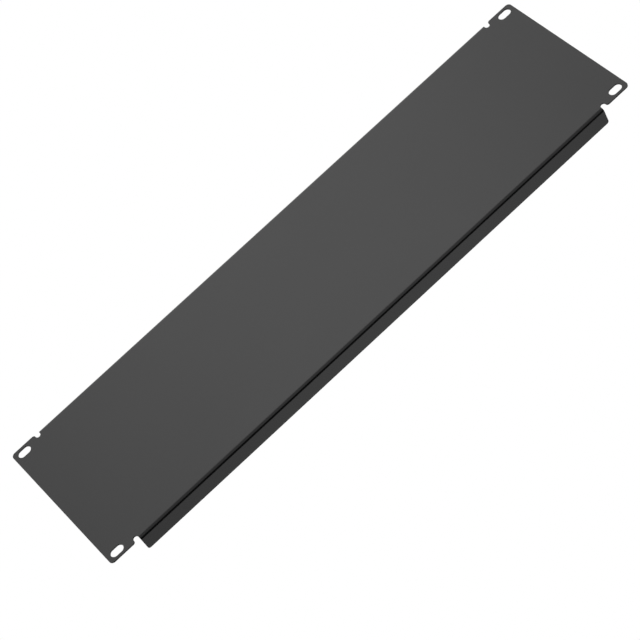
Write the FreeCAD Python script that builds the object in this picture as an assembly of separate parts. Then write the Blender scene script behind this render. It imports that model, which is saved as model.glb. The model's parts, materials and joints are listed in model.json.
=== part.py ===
"""Rack blanking panel, three rack units high, folded from one sheet of steel.

Millimetres. +X runs along the panel's width, +Z is up and +Y points into the rack. The origin is the centre
of the four fixing slots, on the back face of the ears, where the panel bears on the rack's posts.

The sheet is cut to its outline, with a U-shaped relief between each ear and each fold, and its top and
bottom edges are folded back square. The model is built the same way: a flat web that carries both ears, then
a bend and a flange along the top and along the bottom.
"""
import FreeCAD, Part
import math
import os

from FreeCAD import Vector

# The rack space that the panel closes
RACK_UNIT = 44.45
UNITS_HIGH = 3
STACKING_GAP = 0.85             # how much lower the panel is than its rack space, top and bottom together

# The sheet and its bends
SHEET = 1.2
INNER_BEND_RADIUS = 1.2
EDGE_BREAK = 0.1                # bevel that deburrs every cut edge

# The ears, which lap over the rack's posts
PANEL_WIDTH = 482.6             # over both ears
EAR_WIDTH = 21.4                # from the panel's end to the relief
EAR_INSET = 0.5                 # how far an ear's edge lies inside the folded edge beside it
EAR_CORNER_RADIUS = 3.2
EAR_ROOT_RADIUS = 1.9           # the ear's other corner, at the mouth of the relief

# The reliefs, which let the edges fold without tearing the ears
RELIEF_WIDTH = 4.0
RELIEF_PAST_BEND = 0.3          # how far its straight sides run on past the start of the bend

# The flanges
FLANGE_DEPTH = 15.0             # from the front face to the flange's free edge
FLANGE_CORNER_RADIUS = 2.0

# The fixing slots, long side level
SLOT_LENGTH = 10.6
SLOT_WIDTH = 6.4
SLOT_TO_PANEL_END = 8.75        # slot centre to the end of the panel
SLOT_TO_SPACE_END = 6.35        # slot centre to the top or bottom of the rack space

# Derived places
rack_space = UNITS_HIGH * RACK_UNIT
panel_top = (rack_space - STACKING_GAP) / 2
front_y = -SHEET
flange_edge_y = front_y + FLANGE_DEPTH
outer_bend_radius = INNER_BEND_RADIUS + SHEET
bend_axis_y = front_y + outer_bend_radius
bend_axis_z = panel_top - outer_bend_radius
ear_end_x = PANEL_WIDTH / 2
ear_root_x = ear_end_x - EAR_WIDTH
fold_end_x = ear_root_x - RELIEF_WIDTH
ear_top = panel_top - EAR_INSET
relief_radius = RELIEF_WIDTH / 2
relief_centre_z = bend_axis_z - RELIEF_PAST_BEND
relief_floor_z = relief_centre_z - relief_radius
ear_root_radius = min(EAR_ROOT_RADIUS, ear_top - relief_centre_z - EDGE_BREAK)
slot_x = ear_end_x - SLOT_TO_PANEL_END
slot_z = rack_space / 2 - SLOT_TO_SPACE_END

COINCIDENT = 1e-6               # points nearer than this are one point
SMOOTH_JOIN = math.sin(math.radians(5))     # faces that meet flatter than this run on into each other


def corner_arc(before, corner, after, radius):
    """Start, middle and end of the arc that rounds one corner of an outline."""
    to_before = (before - corner).normalize()
    to_after = (after - corner).normalize()
    half_angle = to_before.getAngle(to_after) / 2
    setback = radius / math.tan(half_angle)
    start = corner + to_before * setback
    end = corner + to_after * setback
    inward = (to_before + to_after).normalize()
    middle = corner + inward * (radius / math.sin(half_angle) - radius)
    return start, middle, end


def rounded_outline(corners):
    """Closed wire round a list of corners, each a point and the radius that rounds it."""
    points = [point for point, radius in corners]
    arcs = []
    for i, (corner, radius) in enumerate(corners):
        following = points[(i + 1) % len(points)]
        arcs.append(corner_arc(points[i - 1], corner, following, radius))
    edges = []
    for i, (start, middle, end) in enumerate(arcs):
        previous_end = arcs[i - 1][2]
        if previous_end.distanceToPoint(start) > COINCIDENT:
            edges.append(Part.LineSegment(previous_end, start).toShape())
        if start.distanceToPoint(end) > COINCIDENT:
            edges.append(Part.Arc(start, middle, end).toShape())
    return Part.Wire(edges)


def mirrored(corners, x_sign, z_sign):
    """The same corners reflected across X or Z, listed the other way round."""
    flip = [(Vector(point.x * x_sign, point.y, point.z * z_sign), radius) for point, radius in corners]
    return flip[::-1]


def web_outline():
    """Outline of the flat front with its ears and reliefs, up to where the bends start."""
    quarter = [
        (Vector(ear_end_x, front_y, ear_top), EAR_CORNER_RADIUS),
        (Vector(ear_root_x, front_y, ear_top), ear_root_radius),
        (Vector(ear_root_x, front_y, relief_floor_z), relief_radius),
        (Vector(fold_end_x, front_y, relief_floor_z), relief_radius),
        (Vector(fold_end_x, front_y, bend_axis_z), 0),
    ]
    upper_half = quarter + mirrored(quarter, -1, 1)
    return rounded_outline(upper_half + mirrored(upper_half, 1, -1))


def slot_outline(x, z):
    """Round-ended slot, centred at x and z on the front face."""
    reach = SLOT_LENGTH / 2
    rise = SLOT_WIDTH / 2
    ends = [(reach, rise), (-reach, rise), (-reach, -rise), (reach, -rise)]
    return rounded_outline([(Vector(x + dx, front_y, z + dz), rise) for dx, dz in ends])


def make_web():
    """The flat front and both ears, with the four fixing slots."""
    slots = [slot_outline(x, z) for x in (-slot_x, slot_x) for z in (-slot_z, slot_z)]
    face = Part.makeFace([web_outline()] + slots, "Part::FaceMakerBullseye")
    return face.extrude(Vector(0, SHEET, 0))


def bend_point(radius, turn):
    """Point on the top bend at the fold's left end, turned from the front face towards the flange."""
    y = bend_axis_y - radius * math.cos(turn)
    z = bend_axis_z + radius * math.sin(turn)
    return Vector(-fold_end_x, y, z)


def make_bend():
    """The quarter turn that joins the web to the top flange."""
    quarter_turn = math.pi / 2
    outer = [bend_point(outer_bend_radius, quarter_turn * share) for share in (0, 0.5, 1)]
    inner = [bend_point(INNER_BEND_RADIUS, quarter_turn * share) for share in (1, 0.5, 0)]
    section = Part.Wire([
        Part.Arc(*outer).toShape(),
        Part.LineSegment(outer[2], inner[0]).toShape(),
        Part.Arc(*inner).toShape(),
        Part.LineSegment(inner[2], outer[0]).toShape(),
    ])
    return Part.Face(section).extrude(Vector(2 * fold_end_x, 0, 0))


def make_flange():
    """The flat top flange, from the end of the bend to its free edge, whose corners are rounded."""
    outline = rounded_outline([
        (Vector(-fold_end_x, bend_axis_y, panel_top), 0),
        (Vector(fold_end_x, bend_axis_y, panel_top), 0),
        (Vector(fold_end_x, flange_edge_y, panel_top), FLANGE_CORNER_RADIUS),
        (Vector(-fold_end_x, flange_edge_y, panel_top), FLANGE_CORNER_RADIUS),
    ])
    return Part.Face(outline).extrude(Vector(0, 0, -SHEET))


def face_normal(face, point):
    """Direction square to a face at a point on it."""
    u, v = face.Surface.parameter(point)
    return face.normalAt(u, v)


def cut_edges(solid):
    """Edges where a skin of the sheet meets a cut wall, which are the only ones that aren't smooth."""
    found = []
    for edge in solid.Edges:
        middle = edge.valueAt((edge.FirstParameter + edge.LastParameter) / 2)
        one, other = [face_normal(face, middle) for face in solid.ancestorsOfType(edge, Part.Face)]
        if one.cross(other).Length > SMOOTH_JOIN:
            found.append(edge)
    return found


def make_panel():
    """The folded sheet in one piece, with its cut edges deburred."""
    folds = [make_bend(), make_flange()]
    across_z = Vector(0, 0, 1)
    folds += [fold.mirror(Vector(0, 0, 0), across_z) for fold in folds]
    sheet = make_web().multiFuse(folds).removeSplitter().Solids[0]
    return sheet.makeChamfer(EDGE_BREAK, cut_edges(sheet))


panel = make_panel()
os.makedirs("parts", exist_ok=True)
panel.exportStep("parts/blanking_panel.step")
print("blanking_panel", panel.ShapeType, "valid", panel.isValid(), "volume", round(panel.Volume, 1))
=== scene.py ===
"""Coats a folded steel blanking panel for a 19 inch rack and sets it in a white studio.

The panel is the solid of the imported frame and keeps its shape. It gets a satin black powder
coat with the fine ripple and grain that such a coat cures with.
Lengths are in metres: the panel's width lies along X and its height along Z, and its front
faces -Y.
"""
import json
import math

import bpy
from bpy.props import FloatProperty, FloatVectorProperty, PointerProperty
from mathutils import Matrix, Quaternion, Vector


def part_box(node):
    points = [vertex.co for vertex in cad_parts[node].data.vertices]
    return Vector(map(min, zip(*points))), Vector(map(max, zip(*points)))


bl_info = {
    "name": "Rack Blanking Panel",
    "version": (1, 0, 0),
    "blender": (4, 5, 0),
    "location": "3D View > Sidebar > Blanking Panel",
    "description": "Powder-coats a folded rack blanking panel and sets up a white studio",
    "category": "Object",
}

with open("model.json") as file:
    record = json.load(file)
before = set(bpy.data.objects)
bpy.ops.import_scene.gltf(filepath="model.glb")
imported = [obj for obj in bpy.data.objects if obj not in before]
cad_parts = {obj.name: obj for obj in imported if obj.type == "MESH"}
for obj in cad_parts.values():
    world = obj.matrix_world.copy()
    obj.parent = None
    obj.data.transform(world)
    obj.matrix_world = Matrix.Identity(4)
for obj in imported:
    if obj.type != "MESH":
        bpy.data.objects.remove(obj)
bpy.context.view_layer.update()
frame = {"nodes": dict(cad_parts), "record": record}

PANEL_NODE = "blanking_panel"
COATING_SLOT = "black_powder_coat"
COATING = next(m for m in frame["record"]["materials"] if m["slot"] == COATING_SLOT)
PANEL_LOW, PANEL_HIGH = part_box(PANEL_NODE)
PANEL_WIDTH = PANEL_HIGH.x - PANEL_LOW.x

# Directions in the room, as parts of a unit vector. Each pair says where a change starts and where
# it is full: the floor upwards, the ceiling upwards with a tilt, the back wall backwards, and the
# side walls by the square of the sideways part. BRIGHTEST_SIDE is how far to the side the light
# is brightest, and SIDE_SPREAD how wide it spreads there.
FLOOR_EDGE = (-0.38, -0.54)
CEILING_EDGE = (0.75, 0.865)
CEILING_TILT = math.radians(3.5)
BACK_WALL_EDGE = (-0.3, 0.5)
BRIGHTEST_SIDE = -0.155
SIDE_SPREAD = 0.13
SIDE_WALL_EDGE = (0.25, 0.45)

# Refractive index that gives the cured coat its 8 percent of reflected light seen square on.
COAT_IOR = 1.8

# Noise lies round this value. The pigment's flecks start and are full at the pair below it.
NOISE_MIDDLE = 0.5
FLECK_EDGE = (0.35, 0.65)
SHEEN_DRIFTS_ACROSS = 6.0

DOME_SEGMENTS = 64
DOME_RINGS = 32

# How far the camera sees, in radii of the backdrop.
SIGHT_IN_RADII = 4.0


class CoatingSettings(bpy.types.PropertyGroup):
    """Colour, sheen and surface of the powder coat."""

    colour: FloatVectorProperty(
        name="Colour",
        description="Pigment of the coat under its sheen",
        subtype="COLOR",
        size=3,
        min=0.0,
        max=1.0,
        default=tuple(COATING["base_color"][:3]),
    )
    colour_spread: FloatProperty(
        name="Colour spread",
        description="How much lighter the palest flecks of pigment are, as a share of the colour",
        subtype="FACTOR",
        min=0.0,
        max=1.0,
        default=0.25,
    )
    roughness: FloatProperty(
        name="Roughness",
        description="Lower is glossier",
        subtype="FACTOR",
        min=0.0,
        max=1.0,
        default=0.25,
    )
    roughness_spread: FloatProperty(
        name="Roughness spread",
        description="How far the sheen drifts either way over the sheet",
        subtype="FACTOR",
        min=0.0,
        max=0.2,
        default=0.02,
    )
    ripple_size: FloatProperty(
        name="Ripple size",
        description="Length of the orange-peel waves left as the powder flows out",
        subtype="DISTANCE",
        unit="LENGTH",
        min=0.0005,
        max=0.01,
        precision=5,
        default=0.0026,
    )
    ripple_height: FloatProperty(
        name="Ripple height",
        description="Height of the orange-peel waves",
        subtype="DISTANCE",
        unit="LENGTH",
        min=0.0,
        max=0.0001,
        precision=6,
        default=0.000006,
    )
    grain_size: FloatProperty(
        name="Grain size",
        description="Size of the fine grain of single powder grains",
        subtype="DISTANCE",
        unit="LENGTH",
        min=0.0001,
        max=0.001,
        precision=5,
        default=0.0004,
    )
    grain_height: FloatProperty(
        name="Grain height",
        description="Height of the fine grain",
        subtype="DISTANCE",
        unit="LENGTH",
        min=0.0,
        max=0.00002,
        precision=7,
        default=0.0000006,
    )


class StudioSettings(bpy.types.PropertyGroup):
    """White table and backdrop, and the light of the room."""

    table_size: FloatProperty(
        name="Table size",
        description="Side of the square white table that the panel stands on",
        subtype="DISTANCE",
        unit="LENGTH",
        min=1.0,
        max=20.0,
        default=12.0,
    )
    backdrop_radius: FloatProperty(
        name="Backdrop radius",
        description="Radius of the white dome round the table",
        subtype="DISTANCE",
        unit="LENGTH",
        min=5.0,
        max=20.0,
        default=12.0,
    )
    backdrop_glow: FloatProperty(
        name="Backdrop glow",
        description="Brightness of the table and the dome to the camera; 1 is white",
        min=0.0,
        max=2.0,
        default=1.0,
    )
    low_light: FloatProperty(
        name="Light from below",
        description="Brightness of the room below the horizon, as a white floor throws it back",
        min=0.0,
        max=5.0,
        default=1.05,
    )
    wall_light: FloatProperty(
        name="Light from the back wall",
        description="Brightness of the wall behind the panel",
        min=0.0,
        max=5.0,
        default=0.49,
    )
    front_light: FloatProperty(
        name="Light from the front wall",
        description="Brightness of the wall that the panel faces",
        min=0.0,
        max=5.0,
        default=0.38,
    )
    ceiling_light: FloatProperty(
        name="Light from the ceiling",
        description="Brightness of the room straight overhead",
        min=0.0,
        max=5.0,
        default=0.0,
    )
    side_fall: FloatProperty(
        name="Fall to the sides",
        description="How much of the light is lost to either side of its brightest direction",
        subtype="FACTOR",
        min=0.0,
        max=1.0,
        default=0.6,
    )


class CameraSettings(bpy.types.PropertyGroup):
    """Where the camera stands and what it looks at."""

    aim: FloatVectorProperty(
        name="Aim",
        description="Point that the camera looks at",
        subtype="TRANSLATION",
        unit="LENGTH",
        size=3,
        precision=4,
        default=(0.025, 0.0, 0.0321),
    )
    azimuth: FloatProperty(
        name="Azimuth",
        description="Direction of the camera from the panel: 0 is straight in front",
        subtype="ANGLE",
        unit="ROTATION",
        default=math.radians(9.89),
    )
    elevation: FloatProperty(
        name="Elevation",
        description="Height of the camera above the horizon",
        subtype="ANGLE",
        unit="ROTATION",
        default=math.radians(39.05),
    )
    roll: FloatProperty(
        name="Roll",
        description="Turn of the camera about its own line of sight, anticlockwise",
        subtype="ANGLE",
        unit="ROTATION",
        default=math.radians(131.04),
    )
    distance: FloatProperty(
        name="Distance",
        description="From the camera to the point that it looks at",
        subtype="DISTANCE",
        unit="LENGTH",
        min=0.5,
        default=1.6518,
    )
    lens: FloatProperty(
        name="Focal length",
        description="Focal length of the lens on a 36 mm sensor",
        subtype="DISTANCE_CAMERA",
        unit="CAMERA",
        min=20.0,
        default=135.87,
    )


class Link:
    """A value in a node tree. Arithmetic on it adds Math nodes."""

    def __init__(self, graph, socket):
        self.graph = graph
        self.socket = socket

    def math(self, operation, *values):
        """The result of one Math node on these values."""
        return self.graph.node("ShaderNodeMath", {"operation": operation}, dict(enumerate(values)))

    def __add__(self, other):
        return self.math("ADD", self, other)

    __radd__ = __add__

    def __mul__(self, other):
        return self.math("MULTIPLY", self, other)

    __rmul__ = __mul__

    def __sub__(self, other):
        return self.math("SUBTRACT", self, other)

    def __rsub__(self, other):
        return self.math("SUBTRACT", other, self)

    def __truediv__(self, other):
        return self.math("DIVIDE", self, other)

    def __rtruediv__(self, other):
        return self.math("DIVIDE", other, self)

    def exp(self):
        """e to the power of this value."""
        return self.math("EXPONENT", self)


class Graph:
    """A node tree that is emptied and then built up."""

    def __init__(self, owner):
        owner.use_nodes = True
        self.tree = owner.node_tree
        self.tree.nodes.clear()

    def node(self, kind, settings=None, inputs=None, output=0):
        """Adds a node, makes its settings, then fills its sockets with values or links.

        Gives the named output, or nothing for a node that ends the tree.
        """
        made = self.tree.nodes.new(kind)
        for name, value in (settings or {}).items():
            setattr(made, name, value)
        for key, value in (inputs or {}).items():
            if isinstance(value, Link):
                self.tree.links.new(value.socket, made.inputs[key])
            else:
                made.inputs[key].default_value = value
        return None if output is None else Link(self, made.outputs[output])

    def step(self, value, start, end):
        """0 before start, 1 after end, and a smooth rise or fall between them."""
        return self.node(
            "ShaderNodeMapRange",
            {"interpolation_type": "SMOOTHSTEP"},
            {"Value": value, "From Min": start, "From Max": end},
        )

    def finish(self, kind, surface):
        """Adds the output node and joins the shader to it."""
        self.node(kind, inputs={"Surface": surface}, output=None)


def noise(graph, place, size, detail=2.0):
    """Noise from about 0 to 1 whose features are of that size, in metres."""
    return graph.node(
        "ShaderNodeTexNoise",
        {"noise_dimensions": "3D"},
        {"Vector": place, "Scale": 1.0 / size, "Detail": detail},
    )


def powder_coat(coating):
    """Satin powder coat: near-black pigment under a surface with slow ripple and fine grain."""
    material = bpy.data.materials.new("satin_black_powder_coat")
    graph = Graph(material)
    place = graph.node("ShaderNodeTexCoord", output="Object")

    ripple = noise(graph, place, coating.ripple_size, detail=1.0)
    grain = noise(graph, place, coating.grain_size)
    drift = noise(graph, place, PANEL_WIDTH / SHEEN_DRIFTS_ACROSS)

    dark = tuple(coating.colour)
    light = tuple(channel * (1.0 + coating.colour_spread) for channel in dark)
    pigment = graph.node(
        "ShaderNodeMix",
        {"data_type": "RGBA"},
        {"Factor": graph.step(grain, *FLECK_EDGE), "A": (*dark, 1.0), "B": (*light, 1.0)},
        "Result",
    )
    sheen = coating.roughness + (drift - NOISE_MIDDLE) * (2.0 * coating.roughness_spread)
    height = ripple * coating.ripple_height + grain * coating.grain_height
    relief = graph.node(
        "ShaderNodeBump",
        inputs={"Height": height, "Distance": 1.0},
        output="Normal",
    )
    coat = graph.node(
        "ShaderNodeBsdfPrincipled",
        inputs={
            "Base Color": pigment,
            "Metallic": 0.0,
            "Roughness": sheen,
            "IOR": COAT_IOR,
            "Normal": relief,
        },
        output="BSDF",
    )
    graph.finish("ShaderNodeOutputMaterial", coat)
    return material


def lit_sheet(studio):
    """Evenly lit white on the side that faces the panel, and clear from the other side."""
    material = bpy.data.materials.new("lit_white_sheet")
    graph = Graph(material)
    glow = graph.node(
        "ShaderNodeEmission",
        inputs={"Color": (1.0, 1.0, 1.0, 1.0), "Strength": studio.backdrop_glow},
        output="Emission",
    )
    clear = graph.node("ShaderNodeBsdfTransparent", output="BSDF")
    from_behind = graph.node("ShaderNodeNewGeometry", output="Backfacing")
    sheet = graph.node(
        "ShaderNodeMixShader",
        inputs={0: from_behind, 1: glow, 2: clear},
        output="Shader",
    )
    graph.finish("ShaderNodeOutputMaterial", sheet)
    return material


def room_light(studio):
    """World light: a bright floor, grey walls and a dark ceiling.

    It falls off to either side of a direction left of centre, apart from the two side walls.
    """
    world = bpy.data.worlds.new("studio_room")
    graph = Graph(world)
    direction = graph.node("ShaderNodeTexCoord", output="Generated")
    sideways, backwards, upwards = (
        graph.node("ShaderNodeSeparateXYZ", inputs={"Vector": direction}, output=axis)
        for axis in ("X", "Y", "Z")
    )
    floor = graph.step(upwards, *FLOOR_EDGE)
    overhead = upwards * math.cos(CEILING_TILT) + backwards * math.sin(CEILING_TILT)
    ceiling = graph.step(overhead, *CEILING_EDGE)
    wall = graph.step(backwards, *BACK_WALL_EDGE) * (studio.wall_light - studio.front_light)
    wall = wall + studio.front_light
    aside = (sideways - BRIGHTEST_SIDE) / SIDE_SPREAD
    centred = (aside * aside * -0.5).exp()
    room = wall + (studio.low_light - wall) * floor
    room = room * (1.0 - ceiling) + studio.ceiling_light * ceiling
    side_walls = graph.step(sideways * sideways, *SIDE_WALL_EDGE)
    brightness = room * (1.0 - studio.side_fall * (1.0 - centred - side_walls))
    light = graph.node(
        "ShaderNodeBackground",
        inputs={"Color": (1.0, 1.0, 1.0, 1.0), "Strength": brightness},
        output="Background",
    )
    graph.finish("ShaderNodeOutputWorld", light)
    return world


def only_for_the_camera(piece):
    """Keeps a piece of the stage out of the panel's light and reflections."""
    piece.visible_diffuse = False
    piece.visible_glossy = False
    piece.visible_transmission = False
    piece.visible_volume_scatter = False
    piece.visible_shadow = False


def view_direction(view):
    """Unit vector from the aim to the camera."""
    level = math.cos(view.elevation)
    return Vector((
        math.sin(view.azimuth) * level,
        -math.cos(view.azimuth) * level,
        math.sin(view.elevation),
    ))


class PANEL_OT_coat(bpy.types.Operator):
    """Gives the folded sheet its powder coat."""

    bl_idname = "blanking_panel.coat"
    bl_label = "Coat the Panel"
    bl_options = {"REGISTER", "UNDO"}

    def execute(self, context):
        sheet = frame["nodes"][PANEL_NODE]
        if not sheet.material_slots:
            raise RuntimeError("the panel has no material slot for its coat")
        coat = powder_coat(context.scene.panel_coating)
        for slot in sheet.material_slots:
            slot.material = coat
        return {"FINISHED"}


class PANEL_OT_stage(bpy.types.Operator):
    """Sets up the white table, the backdrop, the room's light and the camera."""

    bl_idname = "blanking_panel.stage"
    bl_label = "Set up the Studio"
    bl_options = {"REGISTER", "UNDO"}

    def execute(self, context):
        scene = context.scene
        studio = scene.panel_studio
        white = lit_sheet(studio)
        bpy.ops.mesh.primitive_plane_add(
            size=studio.table_size,
            location=(0.0, 0.0, PANEL_LOW.z),
        )
        self.add_to_stage(context.object, "white_table", white)
        bpy.ops.mesh.primitive_uv_sphere_add(
            segments=DOME_SEGMENTS,
            ring_count=DOME_RINGS,
            radius=studio.backdrop_radius,
        )
        context.object.data.flip_normals()
        self.add_to_stage(context.object, "white_backdrop", white)
        scene.world = room_light(studio)
        scene.view_settings.view_transform = "Standard"
        self.add_camera(scene)
        return {"FINISHED"}

    def add_to_stage(self, piece, name, material):
        """Names and colours a piece of the stage."""
        piece.name = name
        piece.data.materials.append(material)
        only_for_the_camera(piece)

    def add_camera(self, scene):
        """Stands the camera where its settings say."""
        view = scene.panel_view
        back = view_direction(view)
        lens = bpy.data.cameras.new("studio_camera")
        lens.lens = view.lens
        lens.clip_end = SIGHT_IN_RADII * scene.panel_studio.backdrop_radius
        camera = bpy.data.objects.new("studio_camera", lens)
        camera.location = Vector(view.aim) + back * view.distance
        camera.rotation_mode = "QUATERNION"
        upright = (-back).to_track_quat("-Z", "Y")
        camera.rotation_quaternion = upright @ Quaternion((0.0, 0.0, 1.0), view.roll)
        scene.collection.objects.link(camera)
        scene.camera = camera


class PANEL_PT_sidebar(bpy.types.Panel):
    """Lists the steps and their settings in the sidebar."""

    bl_idname = "PANEL_PT_sidebar"
    bl_label = "Rack Blanking Panel"
    bl_space_type = "VIEW_3D"
    bl_region_type = "UI"
    bl_category = "Blanking Panel"

    def draw(self, context):
        scene = context.scene
        steps = (
            (PANEL_OT_coat, (scene.panel_coating,)),
            (PANEL_OT_stage, (scene.panel_studio, scene.panel_view)),
        )
        for operator, groups in steps:
            box = self.layout.box()
            for group in groups:
                for name in group.__annotations__:
                    box.prop(group, name)
            box.operator(operator.bl_idname)


SETTINGS = {
    "panel_coating": CoatingSettings,
    "panel_studio": StudioSettings,
    "panel_view": CameraSettings,
}
CLASSES = (*SETTINGS.values(), PANEL_OT_coat, PANEL_OT_stage, PANEL_PT_sidebar)


def register():
    """Adds the classes, and the settings to every scene."""
    for cls in CLASSES:
        bpy.utils.register_class(cls)
    for name, cls in SETTINGS.items():
        setattr(bpy.types.Scene, name, PointerProperty(type=cls))


def unregister():
    """Takes the settings and the classes away again."""
    for name in SETTINGS:
        delattr(bpy.types.Scene, name)
    for cls in reversed(CLASSES):
        bpy.utils.unregister_class(cls)


def main():
    """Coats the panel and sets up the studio."""
    register()
    bpy.ops.blanking_panel.coat()
    bpy.ops.blanking_panel.stage()


if __name__ == "__main__":
    main()
